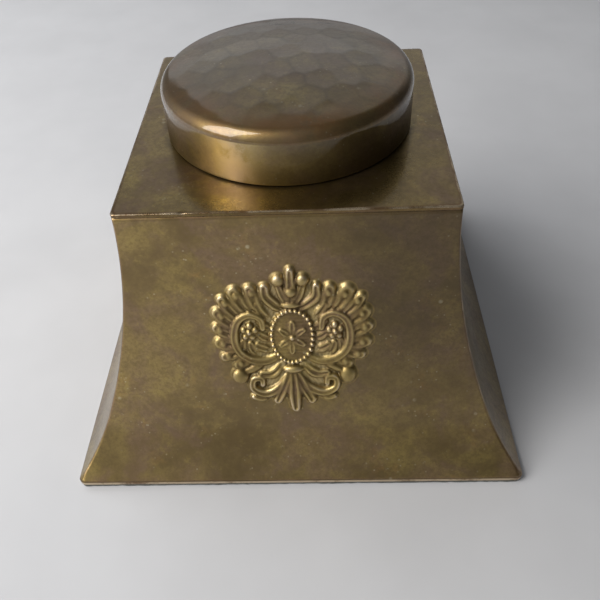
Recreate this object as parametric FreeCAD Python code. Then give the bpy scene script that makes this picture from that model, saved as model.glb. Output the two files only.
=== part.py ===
import FreeCAD, Part
import math
import os

# Square desk inkwell in sheet brass, millimetres.
# Four curved walls, mitred at the corners, flare from a small top plate to a wide base.
# A glass liner hangs in a neck collar, and a round hinged lid closes over both.
# +Z is up, the front (with the ornament) faces -Y, and the origin is the centre of the
# footprint on the surface that the inkwell stands on.

# ---------------------------------------------------------------- driving dimensions

# Base
FELT_THICK = 0.8
FELT_INSET = 0.3
BASE_THICK = 1.0
BASE_CORNER_R = 1.6

# Body walls: the outer profile is two tangent arcs, hollow towards the outside
SHEET = 1.0
TOP_PLATE_TOP_Z = 63.0
TOP_PLATE_THICK = 0.9
TOP_PLATE_WIDTH = 63.0
TOP_PLATE_CORNER_R = 0.9
WALL_TOP_STEP = 0.1
UPPER_ARC_R = 139.0
LOWER_ARC_R = 47.4
TOP_FLARE_DEG = 2.0
ARC_JOIN_DEG = 21.46
BAND_START_DEG = -1.0
BAND_END_DEG = 47.0
SOLDER_LEG = 2.0

# Lid
LID_BACK_OFFSET = 1.0
LID_R = 25.45
LID_THICK = 0.9
LID_GAP = 0.15
LID_SKIRT_HEIGHT = 8.5
LID_RIM_R = 2.6
LID_DOME_R = 95.0

# Neck collar, washer and glass liner
COLLAR_R = 23.4
COLLAR_THICK = 0.9
COLLAR_RISE = 3.5
COLLAR_FOOT_R = 25.6
COLLAR_FOOT_THICK = 1.0
HOLE_CLEARANCE = 0.05
WASHER_THICK = 0.8
WASHER_CLEARANCE = 0.2
GLASS_R = 21.2
GLASS_WALL = 2.5
GLASS_FLOOR = 3.5
GLASS_FLANGE_R = 23.2
GLASS_FLANGE_THICK = 2.2
GLASS_HEIGHT = 42.2
GLASS_EDGE_R = 0.8
GLASS_FOOT_R = 2.0

# Hinge
BARREL_R = 1.9
BARREL_LIFT = 0.1
BARREL_LID_GAP = 0.55
BARREL_LENGTH = 17.0
LID_KNUCKLE_LENGTH = 7.8
KNUCKLE_GAP = 0.2
PIN_R = 0.8
PIN_CLEARANCE = 0.06
PIN_PROUD = 0.3
LEAF_THICK = 0.85
BODY_LEAF_DROP = 10.0
LEAF_BEND_R = 0.6
LID_LEAF_WIDTH = 14.0
LID_LEAF_BOTTOM_RISE = 4.1
LID_LEAF_TOP_RISE = 8.4
WEB_LAP = 1.0
SHANK_R = 0.75
HEAD_R = 1.5
HEAD_HEIGHT = 0.7
TAIL_R = 1.15
TAIL_HEIGHT = 0.4
RIVET_SPACING = 10.0
BODY_RIVET_DROP = 6.6

# Ornament: a low leafy ground on the front wall, with an oval, a vine and berries above it
ORNAMENT_Z = 33.5
ORNAMENT_GROUND = 0.8
ORNAMENT_RELIEF = 1.5
OVAL_TALL = 6.7
OVAL_WIDE = 5.0
OVAL_RISE = 0.9
VINE_X = 8.0
VINE_RISE = 0.6
VINE_R = 5.3
VINE_HALF_WIDTH = 1.1
LEAF_TIP_R = 1.7
NARROWING = 0.94

# ---------------------------------------------------------------- derived values

X_AXIS = FreeCAD.Vector(1, 0, 0)
Y_AXIS = FreeCAD.Vector(0, 1, 0)
Z_AXIS = FreeCAD.Vector(0, 0, 1)

WALL_FOOT_Z = FELT_THICK + BASE_THICK
PLATE_BOTTOM_Z = TOP_PLATE_TOP_Z - TOP_PLATE_THICK
HALF_TOP = TOP_PLATE_WIDTH / 2
SPAN = 2 * TOP_PLATE_WIDTH
TOUCHING = 0.001
UPRIGHT = 0.9
COLLAR_TOP_Z = TOP_PLATE_TOP_Z + COLLAR_RISE
GLASS_TOP_Z = COLLAR_TOP_Z + WASHER_THICK + GLASS_FLANGE_THICK
LID_BOTTOM_Z = TOP_PLATE_TOP_Z + LID_GAP
PIN_Y = LID_BACK_OFFSET + LID_R + BARREL_LID_GAP + BARREL_R
PIN_Z = TOP_PLATE_TOP_Z + BARREL_LIFT + BARREL_R
LID_CENTRE = FreeCAD.Vector(0, LID_BACK_OFFSET, 0)


def along(centre, radius, angle_deg):
    """Point on a profile arc, where the angle is the flare away from the vertical."""
    angle = math.radians(angle_deg)
    return (centre[0] - radius * math.cos(angle), centre[1] - radius * math.sin(angle))


def arc_centres():
    """Centres of the two tangent profile arcs, as (half-width, height)."""
    flare = math.radians(TOP_FLARE_DEG)
    upper = (
        HALF_TOP - WALL_TOP_STEP + UPPER_ARC_R * math.cos(flare),
        PLATE_BOTTOM_Z + UPPER_ARC_R * math.sin(flare),
    )
    join = math.radians(ARC_JOIN_DEG)
    shift = UPPER_ARC_R - LOWER_ARC_R
    lower = (upper[0] - shift * math.cos(join), upper[1] - shift * math.sin(join))
    return upper, lower


UPPER_CENTRE, LOWER_CENTRE = arc_centres()


def half_width(height):
    """Outer half-width of the walls at a height."""
    join_z = along(UPPER_CENTRE, UPPER_ARC_R, ARC_JOIN_DEG)[1]
    centre, radius = (UPPER_CENTRE, UPPER_ARC_R)
    if height < join_z:
        centre, radius = (LOWER_CENTRE, LOWER_ARC_R)
    return centre[0] - math.sqrt(radius**2 - (height - centre[1]) ** 2)


HALF_BASE = half_width(WALL_FOOT_Z)

# ---------------------------------------------------------------- shape helpers


def box(x_size, y_size, z_size, x_mid, y_low, z_low):
    """Box centred on x_mid, from y_low and z_low upwards."""
    corner = FreeCAD.Vector(x_mid - x_size / 2, y_low, z_low)
    return Part.makeBox(x_size, y_size, z_size, corner)


def rounded_square(half, corner_radius, height, z_low):
    """Square prism with rounded upright edges."""
    block = box(2 * half, 2 * half, height, 0, -half, z_low)
    upright = [e for e in block.Edges if abs(e.tangentAt(e.FirstParameter).z) > UPRIGHT]
    return block.makeFillet(corner_radius, upright)


def revolved(outline, centre):
    """Solid of revolution about the upright line through centre, from (radius, z) points.

    An outline item is a point, or ("arc", middle, end) for an arc to end through middle.
    """
    edges = []
    here = FreeCAD.Vector(outline[0][0], 0, outline[0][1])
    for item in outline[1:]:
        if item[0] == "arc":
            middle = FreeCAD.Vector(item[1][0], 0, item[1][1])
            there = FreeCAD.Vector(item[2][0], 0, item[2][1])
            edges.append(Part.Arc(here, middle, there).toShape())
        else:
            there = FreeCAD.Vector(item[0], 0, item[1])
            edges.append(Part.LineSegment(here, there).toShape())
        here = there
    face = Part.Face(Part.Wire(edges))
    solid = face.revolve(FreeCAD.Vector(0, 0, 0), Z_AXIS, 360)
    solid.translate(centre)
    return solid


def wall_band(outer_offset, inner_offset, quarter_turns):
    """Curved band that follows the wall profile, between two distances inside its face.

    Negative distances lie outside the wall. With no quarter turn it is the front wall's.
    """
    outer = []
    inner = []
    for offset, points in ((outer_offset, outer), (inner_offset, inner)):
        for centre, radius, start, stop in (
            (UPPER_CENTRE, UPPER_ARC_R, BAND_START_DEG, ARC_JOIN_DEG),
            (LOWER_CENTRE, LOWER_ARC_R, ARC_JOIN_DEG, BAND_END_DEG),
        ):
            for angle in (start, (start + stop) / 2, stop):
                half, height = along(centre, radius + offset, angle)
                points.append(FreeCAD.Vector(-SPAN, -half, height))
    edges = [
        Part.Arc(outer[0], outer[1], outer[2]).toShape(),
        Part.Arc(outer[3], outer[4], outer[5]).toShape(),
        Part.LineSegment(outer[5], inner[5]).toShape(),
        Part.Arc(inner[5], inner[4], inner[3]).toShape(),
        Part.Arc(inner[2], inner[1], inner[0]).toShape(),
        Part.LineSegment(inner[0], outer[0]).toShape(),
    ]
    band = Part.Face(Part.Wire(edges)).extrude(X_AXIS * 2 * SPAN)
    band.rotate(FreeCAD.Vector(0, 0, 0), Z_AXIS, 90 * quarter_turns)
    return band


def mitre_wedge(quarter_turns):
    """Upright wedge that belongs to one wall, between the two corner mitres."""
    points = [(0, 0), (-SPAN, -SPAN), (SPAN, -SPAN), (0, 0)]
    wire = Part.makePolygon([FreeCAD.Vector(x, y, WALL_FOOT_Z) for x, y in points])
    wedge = Part.Face(wire).extrude(Z_AXIS * (PLATE_BOTTOM_Z - WALL_FOOT_Z))
    wedge.rotate(FreeCAD.Vector(0, 0, 0), Z_AXIS, 90 * quarter_turns)
    return wedge


def rivet(grip, centre, outward):
    """Rivet with a domed head outside, a shank through the grip and a small tail inside.

    Centre is on the outer face that the head sits on.
    """
    shank = Part.makeCylinder(SHANK_R, grip + TAIL_HEIGHT, centre, outward * -1)
    tail_base = centre - outward * grip
    tail = Part.makeCylinder(TAIL_R, TAIL_HEIGHT, tail_base, outward * -1)
    dome_r = (HEAD_R**2 + HEAD_HEIGHT**2) / (2 * HEAD_HEIGHT)
    ball = Part.makeSphere(dome_r, centre + outward * (HEAD_HEIGHT - dome_r))
    head = ball.common(Part.makeCylinder(HEAD_R, HEAD_HEIGHT, centre, outward))
    return shank.fuse([tail, head]).removeSplitter()


def barrel_tube(length, x_mid, bore_radius):
    """Hinge knuckle: a tube on the pin's axis."""
    start = FreeCAD.Vector(x_mid - length / 2, PIN_Y, PIN_Z)
    tube = Part.makeCylinder(BARREL_R, length, start, X_AXIS)
    return tube.cut(Part.makeCylinder(bore_radius, length, start, X_AXIS))


# ---------------------------------------------------------------- sub-parts


def base_felt():
    """Thin felt under the base plate."""
    return rounded_square(HALF_BASE - FELT_INSET, BASE_CORNER_R, FELT_THICK, 0)


def base_plate():
    """Flat brass bottom, flush with the foot of the walls."""
    return rounded_square(HALF_BASE, BASE_CORNER_R, BASE_THICK, FELT_THICK)


def plain_wall(quarter_turns):
    """One curved wall with mitred ends, its two foot corners rounded with the base."""
    footprint = rounded_square(
        HALF_BASE, BASE_CORNER_R, PLATE_BOTTOM_Z - WALL_FOOT_Z, WALL_FOOT_Z
    )
    wall = wall_band(0, SHEET, quarter_turns).common(mitre_wedge(quarter_turns))
    return wall.common(footprint)


def corner_solder():
    """Square bead of soft solder that joins the walls along each inside corner."""
    height = PLATE_BOTTOM_Z - WALL_FOOT_Z
    slab = box(SPAN, SPAN, height, 0, -SPAN / 2, WALL_FOOT_Z)
    beads = []
    for turn in range(4):
        strip = wall_band(SHEET, SHEET + SOLDER_LEG, turn)
        neighbour = wall_band(SHEET, SHEET + SOLDER_LEG, turn + 1)
        beads.append(strip.common(neighbour).common(slab))
    return Part.Compound([solid for bead in beads for solid in bead.Solids])


def top_plate():
    """Square top plate with the round hole that the collar stands in."""
    plate = rounded_square(HALF_TOP, TOP_PLATE_CORNER_R, TOP_PLATE_THICK, PLATE_BOTTOM_Z)
    hole_base = LID_CENTRE + Z_AXIS * PLATE_BOTTOM_Z
    hole = Part.makeCylinder(COLLAR_R + HOLE_CLEARANCE, TOP_PLATE_THICK, hole_base)
    return plate.cut(hole)


def neck_collar():
    """Ring in the plate's hole, with a foot soldered under the plate."""
    bore = COLLAR_R - COLLAR_THICK
    foot_z = PLATE_BOTTOM_Z - COLLAR_FOOT_THICK
    outline = [
        (bore, foot_z),
        (COLLAR_FOOT_R, foot_z),
        (COLLAR_FOOT_R, PLATE_BOTTOM_Z),
        (COLLAR_R, PLATE_BOTTOM_Z),
        (COLLAR_R, COLLAR_TOP_Z),
        (bore, COLLAR_TOP_Z),
        (bore, foot_z),
    ]
    return revolved(outline, LID_CENTRE)


def liner_washer():
    """Soft ring between the collar's rim and the flange of the glass."""
    inner = GLASS_R + WASHER_CLEARANCE
    low = COLLAR_TOP_Z
    high = COLLAR_TOP_Z + WASHER_THICK
    outline = [
        (inner, low),
        (GLASS_FLANGE_R, low),
        (GLASS_FLANGE_R, high),
        (inner, high),
        (inner, low),
    ]
    return revolved(outline, LID_CENTRE)


def glass_liner():
    """Glass cup for the ink, hung by the flange round its mouth."""
    foot_z = GLASS_TOP_Z - GLASS_HEIGHT
    flange_z = GLASS_TOP_Z - GLASS_FLANGE_THICK
    bore = GLASS_R - GLASS_WALL
    well_z = foot_z + GLASS_FLOOR
    slant = math.sqrt(0.5)
    near_foot = GLASS_FOOT_R * (1 - slant)
    near_edge = GLASS_EDGE_R * (1 - slant)
    outline = [
        (0, foot_z),
        (GLASS_R - GLASS_FOOT_R, foot_z),
        ("arc", (GLASS_R - near_foot, foot_z + near_foot), (GLASS_R, foot_z + GLASS_FOOT_R)),
        (GLASS_R, flange_z),
        (GLASS_FLANGE_R, flange_z),
        (GLASS_FLANGE_R, GLASS_TOP_Z - GLASS_EDGE_R),
        (
            "arc",
            (GLASS_FLANGE_R - near_edge, GLASS_TOP_Z - near_edge),
            (GLASS_FLANGE_R - GLASS_EDGE_R, GLASS_TOP_Z),
        ),
        (bore + GLASS_EDGE_R, GLASS_TOP_Z),
        (
            "arc",
            (bore + near_edge, GLASS_TOP_Z - near_edge),
            (bore, GLASS_TOP_Z - GLASS_EDGE_R),
        ),
        (bore, well_z + GLASS_FOOT_R),
        ("arc", (bore - near_foot, well_z + near_foot), (bore - GLASS_FOOT_R, well_z)),
        (0, well_z),
        (0, foot_z),
    ]
    return revolved(outline, LID_CENTRE)


def lid_section(inset):
    """Corner points of the lid's profile at a distance inside its outer face."""
    rim_z = LID_BOTTOM_Z + LID_SKIRT_HEIGHT
    rim_x = LID_R - LID_RIM_R
    edge_angle = math.acos(rim_x / (LID_DOME_R - LID_RIM_R))
    dome_z = rim_z - (LID_DOME_R - LID_RIM_R) * math.sin(edge_angle)
    rim_r = LID_RIM_R - inset
    dome_r = LID_DOME_R - inset
    half_angle = edge_angle / 2
    dome_angle = (edge_angle + math.pi / 2) / 2
    return {
        "skirt": (LID_R - inset, rim_z),
        "rim": (rim_x + rim_r * math.cos(half_angle), rim_z + rim_r * math.sin(half_angle)),
        "edge": (
            rim_x + rim_r * math.cos(edge_angle),
            rim_z + rim_r * math.sin(edge_angle),
        ),
        "dome": (dome_r * math.cos(dome_angle), dome_z + dome_r * math.sin(dome_angle)),
        "apex": (0, dome_z + dome_r),
    }


def lid_blank():
    """Lid raised from one sheet: straight skirt, rounded rim and low dome."""
    outer = lid_section(0)
    inner = lid_section(LID_THICK)
    outline = [
        (LID_R, LID_BOTTOM_Z),
        outer["skirt"],
        ("arc", outer["rim"], outer["edge"]),
        ("arc", outer["dome"], outer["apex"]),
        inner["apex"],
        ("arc", inner["dome"], inner["edge"]),
        ("arc", inner["rim"], inner["skirt"]),
        (LID_R - LID_THICK, LID_BOTTOM_Z),
        (LID_R, LID_BOTTOM_Z),
    ]
    return revolved(outline, LID_CENTRE)


def body_rivets():
    """Two rivets through the back wall and the leaf on it."""
    height = TOP_PLATE_TOP_Z - BODY_RIVET_DROP
    grip = SHEET + LEAF_THICK
    face_y = half_width(height) + LEAF_THICK
    return [
        rivet(grip, FreeCAD.Vector(side * RIVET_SPACING / 2, face_y, height), Y_AXIS)
        for side in (-1, 1)
    ]


def lid_rivets():
    """Two rivets through the skirt and the leaf on it, square to the skirt."""
    height = LID_BOTTOM_Z + (LID_LEAF_BOTTOM_RISE + LID_LEAF_TOP_RISE) / 2
    grip = LID_THICK + LEAF_THICK
    radius = LID_R + LEAF_THICK
    swing = math.asin(RIVET_SPACING / 2 / radius)
    rivets = []
    for side in (-1, 1):
        outward = FreeCAD.Vector(side * math.sin(swing), math.cos(swing), 0)
        centre = LID_CENTRE + outward * radius + Z_AXIS * height
        rivets.append(rivet(grip, centre, outward))
    return rivets


def hinge_body_leaf():
    """Leaf that lies on the plate behind the barrel and bends down over the back wall."""
    width = BARREL_LENGTH
    outer_y = HALF_TOP + LEAF_THICK
    lie = box(width, outer_y - PIN_Y, LEAF_THICK, 0, PIN_Y, TOP_PLATE_TOP_Z)
    bend_z = PLATE_BOTTOM_Z - LEAF_THICK
    drop = box(width, LEAF_THICK, TOP_PLATE_TOP_Z + LEAF_THICK - bend_z, 0, HALF_TOP, bend_z)
    top = lie.fuse(drop).removeSplitter()
    bend_edges = [
        e
        for e in top.Edges
        if abs(e.CenterOfMass.y - outer_y) < TOUCHING
        and abs(e.CenterOfMass.z - TOP_PLATE_TOP_Z - LEAF_THICK) < TOUCHING
    ]
    top = top.makeFillet(LEAF_BEND_R, bend_edges)
    flap_low = TOP_PLATE_TOP_Z - BODY_LEAF_DROP
    flap_box = box(width, SPAN, PLATE_BOTTOM_Z - flap_low, 0, 0, flap_low)
    flap = wall_band(-LEAF_THICK, 0, 2).common(flap_box)
    slot_width = LID_KNUCKLE_LENGTH + 2 * KNUCKLE_GAP
    slot_depth = BARREL_R + KNUCKLE_GAP
    slot = box(slot_width, slot_depth, LEAF_THICK, 0, PIN_Y, TOP_PLATE_TOP_Z)
    knuckle_length = (BARREL_LENGTH - slot_width) / 2
    knuckle_x = (slot_width + knuckle_length) / 2
    bore = Part.makeCylinder(
        PIN_R, width, FreeCAD.Vector(-width / 2, PIN_Y, PIN_Z), X_AXIS
    )
    knuckles = [barrel_tube(knuckle_length, side * knuckle_x, PIN_R) for side in (-1, 1)]
    leaf = top.fuse(flap).cut(slot).fuse(knuckles).cut(bore)
    return leaf.removeSplitter()


def hinge_lid_leaf():
    """Leaf on the back of the skirt, with a tongue down to the middle knuckle."""
    ring_z = LID_BOTTOM_Z + LID_LEAF_BOTTOM_RISE
    ring_height = LID_LEAF_TOP_RISE - LID_LEAF_BOTTOM_RISE
    ring = Part.makeCylinder(LID_R + LEAF_THICK, SPAN, LID_CENTRE)
    skirt = Part.makeCylinder(LID_R, SPAN, LID_CENTRE)
    plate = box(LID_LEAF_WIDTH, SPAN, ring_height, 0, LID_BACK_OFFSET, ring_z)
    tongue_z = PIN_Z
    tongue_height = ring_z - tongue_z + LEAF_THICK
    tongue = box(LID_KNUCKLE_LENGTH, SPAN, tongue_height, 0, LID_BACK_OFFSET, tongue_z)
    leaf = ring.common(plate.fuse(tongue))
    web_z = PIN_Z + BARREL_R - LEAF_THICK
    web_y = LID_BACK_OFFSET + LID_R - WEB_LAP
    web = box(LID_KNUCKLE_LENGTH, PIN_Y - web_y, LEAF_THICK, 0, web_y, web_z)
    bore = Part.makeCylinder(
        PIN_R + PIN_CLEARANCE,
        LID_KNUCKLE_LENGTH,
        FreeCAD.Vector(-LID_KNUCKLE_LENGTH / 2, PIN_Y, PIN_Z),
        X_AXIS,
    )
    knuckle = barrel_tube(LID_KNUCKLE_LENGTH, 0, PIN_R + PIN_CLEARANCE)
    return leaf.fuse([web, knuckle]).cut(skirt).cut(bore).removeSplitter()


def hinge_pin():
    """Pin through the three knuckles."""
    length = BARREL_LENGTH + 2 * PIN_PROUD
    return Part.makeCylinder(PIN_R, length, FreeCAD.Vector(-length / 2, PIN_Y, PIN_Z), X_AXIS)


def both_sides(discs):
    """The (x, z, radius) discs together with their mirror images."""
    return discs + [(-x, z, radius) for x, z, radius in discs]


def disc_prism(x, z, radius):
    """Round prism through the front wall, placed from the ornament's middle."""
    centre = FreeCAD.Vector(x * NARROWING, -SPAN, ORNAMENT_Z + z)
    return Part.makeCylinder(radius, SPAN, centre, Y_AXIS)


def oval_prism():
    """Upright oval prism through the front wall, for the medallion."""
    origin = FreeCAD.Vector(0, 0, 0)
    rim = Part.Ellipse(origin, OVAL_TALL, OVAL_WIDE).toShape()
    face = Part.Face(Part.Wire(rim))
    face.rotate(origin, Z_AXIS, 90)
    face.rotate(origin, X_AXIS, 90)
    face.translate(FreeCAD.Vector(0, -SPAN, ORNAMENT_Z + OVAL_RISE))
    return face.extrude(Y_AXIS * SPAN)


def vine_prism(side):
    """Ring prism for the vine on one side of the medallion."""
    outer = disc_prism(side * VINE_X, VINE_RISE, VINE_R + VINE_HALF_WIDTH)
    return outer.cut(disc_prism(side * VINE_X, VINE_RISE, VINE_R - VINE_HALF_WIDTH))


def joined(prisms):
    """All the prisms as one shape."""
    return prisms[0].fuse(prisms[1:]).removeSplitter()


def front_ornament():
    """Symmetrical leaf-and-vine ornament, in two levels on the front wall."""
    leaf_tips = [
        (8.4, 11.4),
        (11.6, 11.0),
        (14.2, 9.2),
        (15.7, 6.3),
        (16.1, 3.0),
        (15.9, -0.3),
        (14.6, -3.4),
        (12.2, -5.8),
    ]
    leaves = both_sides([(x, z, LEAF_TIP_R) for x, z in leaf_tips])
    fields = [(0, 0.9, 9.0), (0, 9.5, 4.6), (0, 15.0, 2.4), (0, -10.5, 4.2), (0, -14.4, 3.0)]
    fields += both_sides([(8.6, 3.0, 8.0), (5.2, 11.6, 2.0), (2.5, 14.2, 1.7), (9.4, -6.4, 2.9)])
    fields += both_sides([(6.4, -10.6, 3.5), (3.6, -13.6, 2.1), (11.9, -8.5, 2.2)])
    berries = [(0, 11.6, 1.6), (0, -7.2, 1.9), (0, -14.0, 1.5)]
    berries += both_sides([(2.5, 14.2, 1.5), (9.2, 2.2, 2.2), (11.9, -8.5, 2.0), (7.8, -10.4, 1.7)])
    ground = joined([disc_prism(*disc) for disc in leaves + fields])
    raised = joined(
        [oval_prism(), vine_prism(-1), vine_prism(1)] + [disc_prism(*disc) for disc in berries]
    )
    low = wall_band(-ORNAMENT_GROUND, 0, 0).common(ground)
    high = wall_band(-ORNAMENT_RELIEF, 0, 0).common(raised)
    return low.fuse(high).removeSplitter()


# ---------------------------------------------------------------- assembly and export


def main():
    os.makedirs("parts", exist_ok=True)
    back_rivets = body_rivets()
    skirt_rivets = lid_rivets()
    nodes = {
        "base_felt": base_felt(),
        "base_plate": base_plate(),
        "front_wall": plain_wall(0),
        "right_wall": plain_wall(1),
        "back_wall": plain_wall(2).cut(back_rivets),
        "left_wall": plain_wall(3),
        "corner_solder": corner_solder(),
        "top_plate": top_plate(),
        "front_ornament": front_ornament(),
        "neck_collar": neck_collar(),
        "liner_washer": liner_washer(),
        "glass_liner": glass_liner(),
        "lid_shell": lid_blank().cut(skirt_rivets),
        "hinge_body_leaf": hinge_body_leaf().cut(back_rivets),
        "hinge_lid_leaf": hinge_lid_leaf().cut(skirt_rivets),
        "hinge_pin": hinge_pin(),
        "hinge_body_rivets": Part.Compound(back_rivets),
        "hinge_lid_rivets": Part.Compound(skirt_rivets),
    }
    for name, shape in nodes.items():
        shape.exportStep(os.path.join("parts", name + ".step"))
        extent = shape.BoundBox
        print(
            name,
            "solids", len(shape.Solids),
            "valid", shape.isValid(),
            "volume %.1f" % shape.Volume,
            "x %.2f..%.2f" % (extent.XMin, extent.XMax),
            "y %.2f..%.2f" % (extent.YMin, extent.YMax),
            "z %.2f..%.2f" % (extent.ZMin, extent.ZMax),
        )
    print("half base %.3f" % HALF_BASE, "pin at y %.3f z %.3f" % (PIN_Y, PIN_Z))


main()
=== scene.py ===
# %% [markdown]
# # A square brass inkwell
#
# This lesson dresses a packed engineering model of an old desk inkwell. The metal box, the hinge
# and the glass already have their exact sizes and places in the frame, so each new piece asks
# the frame where it begins and ends. What the frame lacks is what a person sees, such as rounded
# arrises, hammer marks, a soldered ornament and many years of patina.

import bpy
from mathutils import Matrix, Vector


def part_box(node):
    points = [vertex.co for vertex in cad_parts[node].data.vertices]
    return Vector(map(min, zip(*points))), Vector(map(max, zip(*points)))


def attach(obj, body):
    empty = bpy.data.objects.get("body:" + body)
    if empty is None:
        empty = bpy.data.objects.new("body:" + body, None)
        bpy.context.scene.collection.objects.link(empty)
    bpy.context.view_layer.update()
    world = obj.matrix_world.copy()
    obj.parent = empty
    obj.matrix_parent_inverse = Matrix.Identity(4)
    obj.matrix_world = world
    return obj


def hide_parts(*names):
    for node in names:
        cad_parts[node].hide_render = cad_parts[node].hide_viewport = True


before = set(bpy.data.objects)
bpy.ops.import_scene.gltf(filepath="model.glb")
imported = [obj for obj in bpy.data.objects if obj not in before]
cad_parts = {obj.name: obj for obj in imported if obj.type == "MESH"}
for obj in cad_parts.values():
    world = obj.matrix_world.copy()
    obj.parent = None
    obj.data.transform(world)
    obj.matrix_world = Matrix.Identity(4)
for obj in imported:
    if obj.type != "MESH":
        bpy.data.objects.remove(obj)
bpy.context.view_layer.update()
print("nodes in the frame:", len(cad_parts))

# %% [markdown]
# Blender counts in metres and a metalworker in millimetres. The shapes below are worked out in
# millimetres, where the numbers are easy to read, and become metres only when a mesh is made.

# %% Tools and the unit
import math

import bpy
import numpy as np
from mathutils import Matrix, Vector

MM = 0.001
print("one unit of the frame is", round(1 / MM), "mm")

# %% [markdown]
# ## Reading sizes from the frame
#
# The four walls are hollow-curved. Their outer face is two arcs that meet smoothly: a long lazy
# one below the top plate and a tighter one that kicks out to the base. An arc is a formula, so
# the walls can be drawn as finely as the light needs, instead of copying the facets of the
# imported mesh. The arcs hang from the top plate, whose box the frame gives. A box can't tell a
# radius or an angle, so those few are written down here, the same as in the design.

# %% Sizes of the body
plate_low, plate_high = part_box("top_plate")
base_low, base_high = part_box("base_plate")
lid_low, lid_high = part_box("lid_shell")

PLATE_TOP = plate_high.z / MM
PLATE_UNDER = plate_low.z / MM
PLATE_HALF = plate_high.x / MM
BASE_HALF = base_high.x / MM
FOOT_Z = base_high.z / MM
LID_R = (lid_high.x - lid_low.x) / 2 / MM
LID_Y = (lid_high.y + lid_low.y) / 2 / MM
LID_BOTTOM = lid_low.z / MM
LID_TOP = lid_high.z / MM
ORNAMENT_Z = 33.5
SHEET = 1.0
UPPER_ARC_R = 139.0
LOWER_ARC_R = 47.4
WALL_STEP = 0.1
TOP_FLARE = math.radians(2.0)
ARC_JOIN = math.radians(21.46)
print("plate", round(PLATE_HALF * 2, 2), "base", round(BASE_HALF * 2, 2), "lid", round(LID_R * 2, 2))

# %% The wall's profile
FACE_BACK = 0.02
UPPER_X = PLATE_HALF - WALL_STEP + UPPER_ARC_R * math.cos(TOP_FLARE)
UPPER_Z = PLATE_UNDER + UPPER_ARC_R * math.sin(TOP_FLARE)
LOWER_X = UPPER_X - (UPPER_ARC_R - LOWER_ARC_R) * math.cos(ARC_JOIN)
LOWER_Z = UPPER_Z - (UPPER_ARC_R - LOWER_ARC_R) * math.sin(ARC_JOIN)


def half_width(z, inside=0.0):
    """Distance from the middle to the wall's face, at height z, `inside` mm into the sheet."""
    upper_r = UPPER_ARC_R + inside
    lower_r = LOWER_ARC_R + inside
    upper = UPPER_X - np.sqrt(np.maximum(upper_r**2 - (z - UPPER_Z) ** 2, 0))
    lower = LOWER_X - np.sqrt(np.maximum(lower_r**2 - (z - LOWER_Z) ** 2, 0))
    return np.where(z < UPPER_Z - upper_r * math.sin(ARC_JOIN), lower, upper)


def wall_slope(z):
    """Angle of the wall's outward normal above the horizontal, at height z."""
    lower = np.arcsin(np.clip((LOWER_Z - z) / LOWER_ARC_R, -1, 1))
    upper = np.arcsin(np.clip((UPPER_Z - z) / UPPER_ARC_R, -1, 1))
    return np.where(z < UPPER_Z - UPPER_ARC_R * math.sin(ARC_JOIN), lower, upper)


print("half-width at the foot", round(float(half_width(FOOT_Z)), 3))

# %% [markdown]
# ## Camera
#
# A camera is three decisions: where the eye is, which way it looks, and how wide it sees. The eye
# is close, a hand's breadth above the lid and in front of it, so near edges grow and the body
# narrows sharply towards the back. The slight roll belongs to a camera held in the hand.

# %% Place the camera
EYE = Vector((0.0063, -0.1234, 0.1334))
LOOK_DOWN = 45.23
LOOK_LEFT = 2.85
ROLL = 3.22
LENS = 39.1

camera_data = bpy.data.cameras.new("close_view")
camera = bpy.data.objects.new("close_view", camera_data)
bpy.context.scene.collection.objects.link(camera)
turn = Matrix.Rotation(math.radians(LOOK_LEFT), 4, "Z")
tilt = Matrix.Rotation(math.radians(90 - LOOK_DOWN), 4, "X")
lean = Matrix.Rotation(math.radians(-ROLL), 4, "Z")
camera.matrix_world = Matrix.Translation(EYE) @ turn @ tilt @ lean
camera_data.lens = LENS
camera_data.clip_start = 0.005
bpy.context.scene.camera = camera
print("eye height", round(EYE.z * 1000), "mm")

# %% [markdown]
# ## Light
#
# Polished metal is a picture of its room, so the room matters more than the metal's colour. One
# tall soft window stands to the left and in front: it rounds the lid's rim, warms the skirt where
# the top plate throws its light back up, and lays the shadow to the right. A skylight behind and
# a pale curtain at the left fill the floor and soften the shadow. Those two are hidden from
# reflections, because the lid would show each of them as a bright rectangle.

# %% Lights
def soft_light(name, place, aim, width, height, watts, colour):
    """Rectangular light at `place` that faces `aim`, in metres."""
    data = bpy.data.lights.new(name, "AREA")
    data.shape = "RECTANGLE"
    data.size = width
    data.size_y = height
    data.energy = watts
    data.color = colour
    lamp = bpy.data.objects.new(name, data)
    lamp.location = place
    direction = Vector(aim) - Vector(place)
    lamp.rotation_euler = direction.to_track_quat("-Z", "Y").to_euler()
    bpy.context.scene.collection.objects.link(lamp)
    return lamp


WARM_WHITE = (1.0, 0.985, 0.96)
COOL_WHITE = (0.97, 0.98, 1.0)
soft_light("window", (-0.364, -0.209, 0.365), (0, 0, 0.03), 0.28, 0.50, 3.1, WARM_WHITE)
fills = (
    soft_light("skylight", (-0.42, 0.42, 0.48), (-0.1, 0.2, 0), 0.30, 0.30, 1.1, COOL_WHITE),
    soft_light("pale_curtain", (-0.50, 0.07, 0.32), (0, 0.05, 0), 0.40, 0.35, 1.3, COOL_WHITE),
)
for fill in fills:
    fill.visible_glossy = False
print("lights:", 1 + len(fills))

# %% [markdown]
# The rest of the room is a world whose brightness depends on the direction. It is lighter on the
# window's side, and behind the inkwell stands a pale wall with a sharp left edge and a soft right
# one: that is what the lid's top and the plate mirror. Faint slats across it give the hammer
# marks something to bend. Painting the room by azimuth and elevation is cheaper than building it,
# and every edge can be as soft as it needs to be.

# %% Steps for painting a room
ROOM = bpy.data.worlds.new("dim_room")
ROOM.use_nodes = True
bpy.context.scene.world = ROOM


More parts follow.
